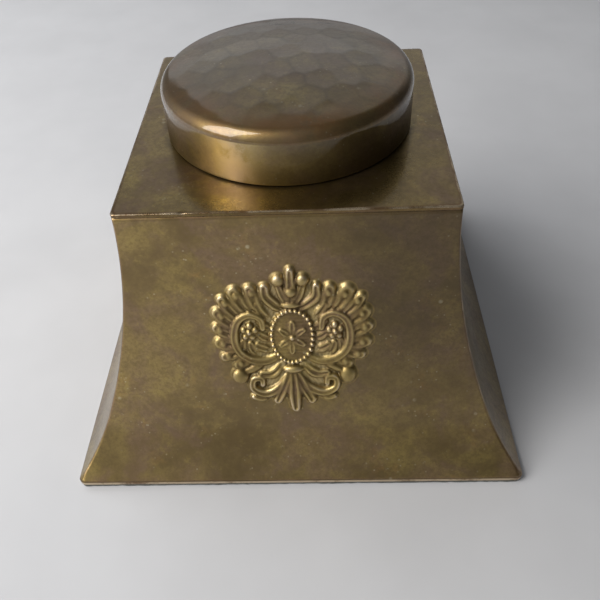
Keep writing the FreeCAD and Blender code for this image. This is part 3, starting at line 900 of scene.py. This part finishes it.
# %% Spin the section
round_lid = np.linspace(0, 2 * math.pi, LID_COLUMNS, endpoint=False)
lid_x = section_r[:, None] * np.cos(round_lid)
lid_y = section_r[:, None] * np.sin(round_lid)
lid_z = np.broadcast_to(section_z[:, None], lid_x.shape).copy()
on_dome = section_z[:, None] > rim_z
lid_z = lid_z + hammered(lid_x, lid_y) * on_dome - 0.005 * on_dome
out_of_round = 0.03 * (ripple(round_lid * 12, round_lid * 0, 14.0, 9) - 1.6)
on_skirt = fade(np.minimum(section_z[:, None] - rim_z, 0), 40.0)
shrink = 1 + out_of_round[None, :] * on_skirt / LID_R
lid_points = np.stack([lid_x * shrink, lid_y * shrink + LID_Y, lid_z], -1).reshape(-1, 3)
apexes = np.array([
    [0, LID_Y, LID_TOP + hammered(np.zeros(1), np.zeros(1))[0]],
    [0, LID_Y, LID_TOP - LID_THICK + hammered(np.zeros(1), np.zeros(1))[0]],
])
rings_in_lid = len(section_r)
lid_faces = [face[::-1] for face in grid_faces(rings_in_lid, LID_COLUMNS, wrap_columns=True)]
top_pole = rings_in_lid * LID_COLUMNS
last = top_pole - LID_COLUMNS
for c in range(LID_COLUMNS):
    after = (c + 1) % LID_COLUMNS
    lid_faces.append([top_pole, c, after])
    lid_faces.append([top_pole + 1, last + after, last + c])
print("lid points", len(lid_points))

# %% [markdown]
# Where the lid is worn depends on how it is used. The rim and the lip are rubbed, and so is the
# front of the skirt, left of the middle, where a thumb lifts it. The dome's patina is darker, with
# thin lines of painted shade along the ridges between the hammer marks; a reddish tint stays near
# the rim, and painted shade darkens the skirt at the right and at the far left. All of this is
# known point by point, so it is painted on the mesh.

# %% Paint the lid
THUMB_X = -11.0
THUMB_REACH = 9.0
# Where painted shade on the skirt begins, at the right and at the far left
DARK_FROM_X = 1.5
DARK_LEFT_X = -17.5
FILM_FADE = 2.5


def with_apexes(values):
    """Paint for every point of the rings, and none for the two apexes."""
    return np.concatenate([np.broadcast_to(values, lid_x.shape).reshape(-1), [0, 0]])


outside = np.arange(rings_in_lid) < len(outer_r)
rim_turn = RIM_R * math.sqrt(0.5)
to_rim = np.hypot(section_r - (LID_R - RIM_R + rim_turn), section_z - (rim_z + rim_turn))
rim_wear = 0.16 * fade(to_rim, 1.3) * outside
lip_wear = fade(section_z - LID_BOTTOM, 0.4) * 0.6
polished = fade(np.hypot(lid_x - THUMB_X, lid_y + LID_R), THUMB_REACH) * (1 - on_dome) * 0.70
ring_wear = np.maximum(np.maximum(rim_wear, lip_wear)[:, None], polished)
lid_wear = np.clip(ring_wear * (0.85 + 0.3 * ripple(lid_x, lid_y, 11.0, 31)), 0, 1)
# The dome's darker patina, plus the painted shade lines along its ridges
dome_patina_and_shade = 0.32 + 0.26 * ridge_shade_lines(lid_x, lid_y)
# Painted shade on the front of the skirt, at the right and at the far left
to_right = soft_step(lid_x - DARK_FROM_X + 2.0 * ripple(lid_x, lid_z, 7.0, 33), 3.5)
to_left = soft_step(DARK_LEFT_X - lid_x, 2.0)
skirt_shade = (0.02 + 0.50 * to_right + 0.25 * to_left) * (lid_y < 10)
lid_patina_and_shade = np.clip(np.where(on_dome, dome_patina_and_shade, skirt_shade), 0, 1)
lid_matt = np.clip((rim_z - section_z) / FILM_FADE, 0, 1)[:, None]
near_rim = fade(section_r - (LID_R - RIM_R), 3.2)[:, None] * (section_z > rim_z)[:, None]
lid_rust = np.clip(near_rim * (0.70 + 0.35 * ripple(lid_x, lid_y, 10.0, 36)), 0, 1)
lid_paint = {
    "wear": with_apexes(lid_wear),
    "grime_and_shade": with_apexes(lid_patina_and_shade),
    "rust": with_apexes(lid_rust),
    "matt": with_apexes(lid_matt),
}
lid = mesh_piece("lid_raised", np.concatenate([lid_points, apexes]), lid_faces, lid_brass, lid_paint)
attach(lid, "lid")
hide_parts("lid_shell")
print("mean dirt on the lid", round(float(lid_patina_and_shade.mean()), 2))

# %% [markdown]
# ## The front ornament
#
# On the real object this is a stamping, soft from long polishing. Here it carries a
# rosette in a beaded oval, a vine that curls round a flower to each side, and a fan of acanthus
# lobes outside that, with a bud above, and a palmette, scrolls and berries below.
# It could be carved by hand in sculpt mode, but a lesson should be repeatable, so it is drawn the
# way an engraver cuts a die: stroke by stroke into a sheet of numbers. Every stroke is a curve
# with a width and a height; where strokes cross, the higher one wins. Reading x as its distance
# from the middle draws both sides at once, and a gentle warp takes the machine out of it.

# %% The engraver's sheet
class Die:
    """Relief height and distance from the outline, over a grid of x and z in millimetres."""

    def __init__(self, x, z):
        self.x = np.abs(x)
        self.z = z
        self.height = np.full(x.shape, -9.0)
        self.gap = np.full(x.shape, 9.0)

    def raise_to(self, share, width, height):
        """Keep `height` where share of the half-width is below 1 and it stands highest."""
        self.height = np.maximum(self.height, np.where(share < 1, height, -9))
        self.gap = np.minimum(self.gap, (share - 1) * width)

    def boss(self, x, z, radius, height, tall=None):
        """Round or oval bead."""
        tall = tall or radius
        share = np.hypot((self.x - x) / radius, (self.z - z) / tall)
        self.raise_to(share, min(radius, tall), height * np.clip(1 - share**2, 0, 1) ** 0.45)

    def stroke(self, points, widths, height, groove=0.35, start=0.55):
        """Rounded stroke along a curve, with a groove down its middle."""
        line = smooth_line(points)
        travel = np.linspace(0, 1, len(line))
        widths = np.interp(travel, np.linspace(0, 1, len(widths)), widths)
        share = np.full(self.x.shape, 99.0)
        reached = np.zeros(self.x.shape)
        width_here = np.ones(self.x.shape)
        for (px, pz), width, t in zip(line, widths, travel):
            d = np.hypot(self.x - px, self.z - pz) / width
            nearer = d < share
            share = np.where(nearer, d, share)
            reached = np.where(nearer, t, reached)
            width_here = np.where(nearer, width, width_here)
        climb = height * (start + (1 - start) * np.minimum(reached * 3, 1))
        body = np.clip(1 - share**2, 0, 1) ** 0.4
        self.raise_to(share, width_here, climb * body * (1 - groove * fade(share, 0.28)))


def smooth_line(points, spacing=0.22):
    """Catmull-Rom curve through a few points, at an even pace."""
    p = np.array(points, float)
    p = np.vstack([2 * p[0] - p[1], p, 2 * p[-1] - p[-2]])
    line = []
    for a, b, c, d in zip(p, p[1:], p[2:], p[3:]):
        steps = max(3, int(np.linalg.norm(c - b) / spacing))
        for t in np.linspace(0, 1, steps, endpoint=False):
            line.append(
                b + 0.5 * (c - a) * t
                + (a - 2.5 * b + 2 * c - 0.5 * d) * t**2
                + (1.5 * (b - c) + 0.5 * (d - a)) * t**3
            )
    return np.array(line + [p[-2]])


print("points on a short curve:", len(smooth_line([(0, 0), (2, 1), (4, 0)])))

# %% [markdown]
# The strokes are laid from the back to the front, as the eye reads them: a thin web and the
# leaves first, the vine and scrolls over them, berries and binding last. Heights are in
# millimetres above the wall.

# %% Cut the leaves, the vine and the scrolls
def cut_web(die):
    """Low ribbed ground that joins the leaves into one stamping."""
    patches = ((8.4, 2.4, 7.2, 8.0), (5.6, -7.6, 4.6, 4.2), (0, -10.0, 3.0, 5.0), (2.4, 9.6, 3.4, 3.4))
    for x, z, wide, tall in patches:
        share = np.hypot((die.x - x) / wide, (die.z - z) / tall)
        ribs = 0.07 * np.cos(2 * math.pi * (die.x + 0.5 * die.z) / 0.8)
        die.raise_to(share, min(wide, tall), 0.42 * np.clip(1 - share**4, 0, 1) + ribs)


def cut_leaves(die):
    """Rounded acanthus lobes round the outside of the vine, each with a curled tip."""
    lobes = (
        ((6.6, 6.6), (8.2, 12.2), 1.7), ((8.8, 6.4), (11.7, 11.6), 2.0),
        ((10.4, 5.0), (14.4, 9.7), 1.7), ((11.2, 3.2), (15.6, 6.4), 1.95),
        ((11.4, 1.2), (16.3, 3.1), 1.6), ((11.2, -0.6), (15.8, -0.5), 1.9),
        ((10.4, -2.0), (14.9, -3.8), 1.6), ((8.8, -3.0), (12.0, -5.8), 1.75),
    )
    for (ax, az), (bx, bz), width in lobes:
        middle = (0.5 * (ax + bx) + 0.25, 0.5 * (az + bz) - 0.3)
        die.stroke([(ax, az), middle, (bx, bz)], [0.8, 0.8 * width, width, 0.8 * width], 1.05, 0.5)
        die.boss(0.15 * ax + 0.85 * bx, 0.15 * az + 0.85 * bz, 1.0, 1.15, 1.3)


def cut_vine(die):
    """A spiral vine to each side, with a flower in its eye and leaflets in its bend."""
    leaflets = (
        ((4.9, 5.0), (7.2, 8.4)), ((4.6, 2.6), (7.0, 4.4)), ((4.8, 0.2), (7.2, 1.6)),
        ((5.0, -2.4), (7.6, -1.2)), ((7.6, -3.4), (9.0, -0.8)), ((10.6, -2.6), (10.6, -0.2)),
    )
    for (ax, az), (bx, bz) in leaflets:
        middle = (0.5 * (ax + bx) + 0.3, 0.5 * (az + bz))
        die.stroke([(ax, az), middle, (bx, bz)], [0.8, 1.25, 0.9], 1.0, 0.45)
    vine = [
        (3.4, -4.0), (6.2, -5.0), (9.4, -4.4), (11.8, -2.2), (12.6, 1.2), (11.6, 4.6), (9.0, 6.2),
        (6.7, 5.2), (6.3, 3.0),
    ]
    die.stroke(vine, [1.0, 1.2, 1.2, 1.1, 0.95, 0.8], 1.35, 0.25)
    for k in range(5):
        angle = 2 * math.pi * k / 5 + 0.4
        die.boss(9.2 + 1.3 * math.cos(angle), 2.2 + 1.3 * math.sin(angle), 0.95, 1.35)
    die.boss(9.2, 2.2, 0.9, 1.65)


def cut_corner_scrolls(die):
    """A scroll that curls outwards at the bottom, with a berry above it."""
    die.stroke([(2.4, -6.0), (5.0, -8.0), (7.2, -8.0)], [1.0, 1.4, 1.0], 1.15, 0.45)
    scroll = [
        (1.6, -9.0), (3.6, -11.4), (6.6, -12.6), (9.2, -11.4), (9.1, -9.3), (7.4, -9.1), (7.2, -10.4),
    ]
    die.stroke(scroll, [1.0, 1.2, 1.1, 0.95, 0.7], 1.35, 0.3)
    die.stroke([(6.0, -13.0), (7.4, -14.0), (9.2, -13.7)], [0.9, 0.9, 0.7], 0.95, 0.0)
    die.stroke([(6.6, -5.0), (8.8, -6.6), (11.0, -7.7)], [1.1, 1.0, 0.8], 1.0, 0.0)
    die.boss(11.9, -8.5, 2.05, 1.6)


SIDE_CUTS = (cut_web, cut_leaves, cut_vine, cut_corner_scrolls)
print("cuts on both sides:", len(SIDE_CUTS))


# %% Cut the finial, the palmette and the oval
def cut_finial(die):
    """An open bud between two berries at the top."""
    die.stroke([(1.4, 7.0), (3.6, 8.6), (5.3, 10.4), (5.4, 12.6)], [0.9, 1.4, 1.4, 1.0], 1.15, 0.45)
    die.stroke([(0.4, 8.0), (1.8, 10.8), (2.5, 13.0)], [0.9, 1.15, 0.9], 1.1)
    die.boss(2.5, 14.2, 1.5, 1.5)
    die.stroke([(0, 8.0), (0, 13.0), (0, 16.4)], [1.0, 1.4, 0.95], 1.25)
    die.boss(0, 11.6, 1.5, 1.6)
    die.boss(0, 8.4, 2.4, 1.4, 0.9)


def cut_palmette(die):
    """Five petals bound by a collar at the bottom."""
    die.stroke([(0.8, -8.0), (2.5, -11.4), (3.9, -14.3)], [0.9, 1.4, 1.15], 1.2, 0.45)
    die.stroke([(0, -8.0), (0, -12.3), (0, -16.2)], [1.0, 1.8, 1.15], 1.4, 0.45)
    die.boss(0, -7.0, 2.6, 1.5, 1.0)


def cut_oval(die):
    """Ribbed field in a ring of beads, with a six-petalled rosette."""
    tall, wide, middle = 6.2, 4.5, 0.9
    share = np.hypot(die.x / wide, (die.z - middle) / tall)
    ribs = 0.07 * np.cos(2 * math.pi * die.z / 0.85) * (share < 0.82)
    die.raise_to(share, wide, 0.75 + 0.45 * np.clip(1 - share**2, 0, 1) + ribs)
    for angle in np.arange(-math.pi / 2, math.pi / 2 + 0.01, math.pi / 15):
        die.boss(wide * math.cos(angle), middle + tall * math.sin(angle), 0.62, 1.4)
    for angle in (math.pi / 2, math.pi / 6, -math.pi / 6, -math.pi / 2):
        spoke = [(k * math.cos(angle), middle + 1.25 * k * math.sin(angle)) for k in (0.8, 1.9, 2.8)]
        die.stroke(spoke, [0.7, 1.1, 0.75], 1.6, 0.35, 0.9)
    die.boss(0, middle, 1.0, 1.8)


MIDDLE_CUTS = (cut_finial, cut_palmette, cut_oval)
print("cuts in the middle:", len(MIDDLE_CUTS))

# %% [markdown]
# The sheet of numbers becomes metal: the points stand off the curved wall along its normal, a low
# fillet of solder runs out round the outline, and a back face closes the piece. Comparing the
# relief with a blurred copy of itself tells hollows from heights. The hollows get dirt, where a
# polishing cloth leaves it, and painted shade; the heights lose their tarnish to the cloth.

# %% Press the sheet
ORNAMENT_STEP = 0.14
NARROWING = 0.94
ORNAMENT_REACH = 19.3
FILLET_REACH = 1.1
FILLET_HEIGHT = 0.10
SUNK = 0.30
FRONT_SEED = 3
HAND_WANDER = 0.18


def blurred(grid, radius):
    """Gaussian blur of a square grid, radius in grid steps."""
    kernel = np.exp(-0.5 * (np.arange(-3 * radius, 3 * radius + 1) / radius) ** 2)
    kernel = kernel / kernel.sum()

    def soften(line):
        return np.convolve(np.pad(line, len(kernel) // 2, "edge"), kernel, "valid")

    return np.apply_along_axis(soften, 1, np.apply_along_axis(soften, 0, grid))


def pressed_relief():
    """Grid of x and z, the relief above the wall, and the distance outside the outline."""
    line = np.arange(-ORNAMENT_REACH, ORNAMENT_REACH, ORNAMENT_STEP)
    x, z = np.meshgrid(line, line)
    across = x / NARROWING + HAND_WANDER * ripple(x, z, 8.0, 41)
    die = Die(across, z + HAND_WANDER * ripple(x, z, 8.0, 42))
    for cut in SIDE_CUTS + MIDDLE_CUTS:
        cut(die)
    fillet = FILLET_HEIGHT * np.clip(1 - die.gap / FILLET_REACH, 0, 1) ** 2 - 0.03
    relief = np.where(die.height > 0, np.maximum(die.height, fillet), fillet)
    return x, z, blurred(relief, 1), die.gap


print("numbers in the sheet:", len(np.arange(-ORNAMENT_REACH, ORNAMENT_REACH, ORNAMENT_STEP)) ** 2)


# %% Fix the ornament to the wall
def ornament():
    """The pressed ornament, closed at the back and sunk a little into the wall."""
    x, z, relief, gap = pressed_relief()
    height = z + ORNAMENT_Z
    slope = wall_slope(height)
    face = half_width(height) - FACE_BACK + wall_dent(x, height, FRONT_SEED)
    front = np.stack([x, -(face + relief * np.cos(slope)), height + relief * np.sin(slope)], -1)
    back = np.stack([x, -(face - SUNK * np.cos(slope)), height - SUNK * np.sin(slope)], -1)
    near = gap < FILLET_REACH
    kept = near[:-1, :-1] & near[1:, :-1] & near[1:, 1:] & near[:-1, 1:]
    columns = x.shape[1]
    row, column = np.nonzero(kept)
    corner = row * columns + column
    front_faces = np.stack([corner, corner + 1, corner + columns + 1, corner + columns], -1)
    offset = x.size
    back_faces = front_faces[:, ::-1] + offset
    sides = side_faces(front_faces, offset)
    faces = np.concatenate([front_faces, back_faces, sides])
    used = np.unique(faces)
    renumber = np.zeros(2 * x.size, int)
    renumber[used] = np.arange(len(used))
    points = np.concatenate([front.reshape(-1, 3), back.reshape(-1, 3)])[used]
    local = relief - blurred(relief, 3)
    # Dirt and painted shade in the hollows
    grime_and_shade = np.clip(-local * 2.2, 0, 0.70) * (relief > 0.05)
    ground = 0.5 * (relief < 0.55) * fade(np.maximum(gap, 0), 0.35)
    wear = np.clip(np.maximum(local * 3.2, ground), 0, 0.95)
    blank = np.zeros(x.size)
    paint = {
        "grime_and_shade": np.concatenate([grime_and_shade.reshape(-1), blank])[used],
        "wear": np.concatenate([wear.reshape(-1), blank])[used],
    }
    return mesh_piece("ornament_relief", points, renumber[faces].tolist(), ornament_brass, paint)


def side_faces(faces, offset):
    """Quads that join the rim of a patch of faces to the same rim `offset` points further on."""
    edges = np.concatenate([faces[:, [i, (i + 1) % 4]] for i in range(4)])
    backwards = set(map(tuple, edges[:, ::-1].tolist()))
    rim = np.array([edge for edge in edges.tolist() if tuple(edge) not in backwards])
    return np.stack([rim[:, 1], rim[:, 0], rim[:, 0] + offset, rim[:, 1] + offset], -1)


relief_piece = ornament()
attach(relief_piece, "body")
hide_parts("front_ornament")
print("ornament:", len(relief_piece.data.vertices), "points")

# %% [markdown]
# ## Turned and moulded parts
#
# Under the lid, three round pieces share one axis: the brass collar, a leather washer and the
# glass that hangs on it. Each is a section spun round, so one lathe function makes them all. Its
# corners are rounded a little, because a sharp corner never catches the light.

# %% Lathe
def eased(section, steps=4):
    """Closed outline from (radius, height, rounding) corners."""
    line = []
    count = len(section)
    for i, (r, z, rounding) in enumerate(section):
        here = np.array([r, z])
        before = np.array(section[i - 1][:2])
        after = np.array(section[(i + 1) % count][:2])
        if rounding == 0:
            line.append(here)
            continue
        start = here + (before - here) / np.linalg.norm(before - here) * rounding
        end = here + (after - here) / np.linalg.norm(after - here) * rounding
        for t in np.linspace(0, 1, steps):
            line.append((1 - t) ** 2 * start + 2 * t * (1 - t) * here + t**2 * end)
    return np.array(line)


def turned(name, section, material, columns=160, steps=4):
    """Solid of revolution round the lid's axis, from an anticlockwise section."""
    line = eased(section, steps)
    angle = np.linspace(0, 2 * math.pi, columns, endpoint=False)
    radius = line[:, :1]
    points = np.stack([
        radius * np.cos(angle),
        LID_Y + radius * np.sin(angle),
        np.broadcast_to(line[:, 1:], (len(line), columns)),
    ], -1)
    faces = grid_faces(len(line), columns, wrap_rows=True, wrap_columns=True)
    return mesh_piece(name, points.reshape(-1, 3), [f[::-1] for f in faces], material)


print("points in an eased triangle:", len(eased([(0, 0, 0.1), (1, 0, 0.1), (0, 1, 0.1)])))

# %% [markdown]
# The collar and the glass stand at heights that the frame gives. The glass is pressed, faintly
# green and a little cloudy, as an old cup is: quite clear glass in a dark box would look black.
# The leather is dark, with pores as bump.

# %% Sizes of the round parts
collar_low, collar_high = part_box("neck_collar")
washer_low, washer_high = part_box("liner_washer")
glass_low, glass_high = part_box("glass_liner")
COLLAR_R = 23.4
COLLAR_BORE = 22.5
WASHER_BORE = 21.4
GLASS_R = 21.2
GLASS_BORE = 18.7
FLANGE_THICK = 2.2
GLASS_FLOOR = 3.5
foot_r = collar_high.x / MM
flange_r = glass_high.x / MM
collar_z = (collar_low.z / MM, PLATE_UNDER, collar_high.z / MM)
glass_z = (glass_low.z / MM, glass_high.z / MM)
glass_depth = glass_z[1] - glass_z[0] - GLASS_FLOOR
print("the glass holds about", round(math.pi * GLASS_BORE**2 * glass_depth / 1000), "ml")


# %% Leather and glass
def leather_material():
    """Dark pressed leather, with pores."""
    material, tree, shader, coords = new_finish("leather")
    pores = noise(tree, coords, 1500.0, 4.0, 0.65)
    tone = noise(tree, coords, 160.0, 4.0)
    tone = mask(tree, tone, 0.35, 0.65)
    colour = blend(tree, tone, rgb(0.045, 0.022, 0.011), rgb(0.110, 0.056, 0.027))
    colour = blend(tree, mask(tree, pores, 0.55, 0.75, 0.6), colour, rgb(0.02, 0.010, 0.006))
    tree.links.new(colour, shader.inputs["Base Color"])
    bump(tree, pores, 0.5, 0.0002)
    shader.inputs["Roughness"].default_value = 0.62
    return material


def glass_material():
    """Pressed glass, faintly green and clouded, with a waviness from its mould."""
    material, tree, shader, coords = new_finish("glass")
    wave = noise(tree, coords, 110.0, 2.0)
    dust = noise(tree, coords, 900.0, 4.0, 0.7)
    bump(tree, wave, 0.12, 0.0008)
    tree.links.new(mask(tree, dust, 0.45, 0.80, 0.22), shader.inputs["Roughness"])
    shader.inputs["Base Color"].default_value = rgb(0.76, 0.86, 0.81)
    shader.inputs["Transmission Weight"].default_value = 0.88
    shader.inputs["IOR"].default_value = 1.5
    return material


leather = leather_material()
clouded_glass = glass_material()
print("finishes:", leather.name, clouded_glass.name)

# %% Collar, washer and glass
collar = turned("collar_turned", [
    (COLLAR_BORE, collar_z[0], 0.15), (foot_r, collar_z[0], 0.2), (foot_r, collar_z[1], 0.15),
    (COLLAR_R, collar_z[1], 0.1), (COLLAR_R, collar_z[2], 0.3), (COLLAR_BORE, collar_z[2], 0.3),
], collar_brass)
washer = turned("washer_ring", [
    (WASHER_BORE, washer_low.z / MM, 0.15), (flange_r, washer_low.z / MM, 0.2),
    (flange_r, washer_high.z / MM, 0.2), (WASHER_BORE, washer_high.z / MM, 0.15),
], leather)
glass = turned("glass_cup", [
    (0.02, glass_z[0], 0), (GLASS_R, glass_z[0], 2.4), (GLASS_R, glass_z[1] - FLANGE_THICK, 0.15),
    (flange_r, glass_z[1] - FLANGE_THICK, 0.4), (flange_r, glass_z[1], 0.9),
    (GLASS_BORE, glass_z[1], 0.9), (GLASS_BORE, glass_z[0] + GLASS_FLOOR, 2.6),
    (0.02, glass_z[0] + GLASS_FLOOR, 0),
], clouded_glass, steps=8)
for piece, node, slot_name in (
    (collar, "neck_collar", "collar_brass"),
    (washer, "liner_washer", "leather"),
    (glass, "glass_liner", "glass"),
):
    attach(piece, "body")
    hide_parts(node)
    print(piece.name, len(piece.data.vertices), "points")

# %% [markdown]
# ## Hinge and solder
#
# The hinge is small and its shape in the engineering model is right, so those nodes stay and only
# get their metal. Imported edges are split, so a weld joins them before a fine bevel breaks every
# arris, the way a file does.

# %% Solder
def solder_material():
    """Dull grey solder with a frosty skin."""
    material, tree, shader, coords = new_finish("solder")
    skin = noise(tree, coords, 500.0, 5.0, 0.65)
    colour = blend(tree, mask(tree, skin, 0.3, 0.7), rgb(0.20, 0.20, 0.19), rgb(0.46, 0.46, 0.45))
    tree.links.new(colour, shader.inputs["Base Color"])
    bump(tree, skin, 0.5, 0.0003)
    shader.inputs["Metallic"].default_value = 0.9
    shader.inputs["Roughness"].default_value = 0.5
    return material


solder = solder_material()
print("finish:", solder.name)


# %% Finish the nodes that stay
def dress(node, material, bevel):
    """Give a node of the frame its metal and broken arrises."""
    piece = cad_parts[node]
    piece.data.materials.clear()
    piece.data.materials.append(material)
    weld = piece.modifiers.new("weld", "WELD")
    weld.merge_threshold = WELD_GAP
    arris = piece.modifiers.new("arris", "BEVEL")
    arris.width = bevel * MM
    arris.segments = 2
    arris.limit_method = "ANGLE"
    arris.angle_limit = math.radians(40)
    print(node, "bevelled by", bevel, "mm")


WELD_GAP = 2e-6
pin_brass = aged_brass("pin_brass", shade=1.5, rough=0.24, seed=2.9)
for node in ("hinge_body_leaf", "hinge_lid_leaf"):
    dress(node, hinge_brass, 0.12)
for node in ("hinge_body_rivets", "hinge_lid_rivets"):
    dress(node, hinge_brass, 0.06)
dress("hinge_pin", pin_brass, 0.15)
dress("corner_solder", solder, 0.4)

# %% [markdown]
# ## Floor
#
# A plain pale floor is all the stage there is. It isn't part of the object.

# %% Build the floor
FLOOR_HALF = 2.5
floor_data = bpy.data.meshes.new("floor")
floor_corners = [(-FLOOR_HALF, -FLOOR_HALF, 0), (FLOOR_HALF, -FLOOR_HALF, 0)]
floor_corners += [(FLOOR_HALF, FLOOR_HALF, 0), (-FLOOR_HALF, FLOOR_HALF, 0)]
floor_data.from_pydata(floor_corners, [], [(0, 1, 2, 3)])
floor = bpy.data.objects.new("floor", floor_data)
bpy.context.scene.collection.objects.link(floor)
floor_material, floor_tree, floor_shader, floor_coords = new_finish("pale_cloth")
floor_tone = mask(floor_tree, noise(floor_tree, floor_coords, 30.0, 3.0), 0.2, 0.8)
floor_colour = blend(floor_tree, floor_tone, rgb(0.51, 0.51, 0.52), rgb(0.55, 0.55, 0.56))
floor_tree.links.new(floor_colour, floor_shader.inputs["Base Color"])
floor_shader.inputs["Roughness"].default_value = 0.95
floor_shader.inputs["Specular IOR Level"].default_value = 0.1
floor_data.materials.append(floor_material)
print("floor", 2 * FLOOR_HALF, "m wide")
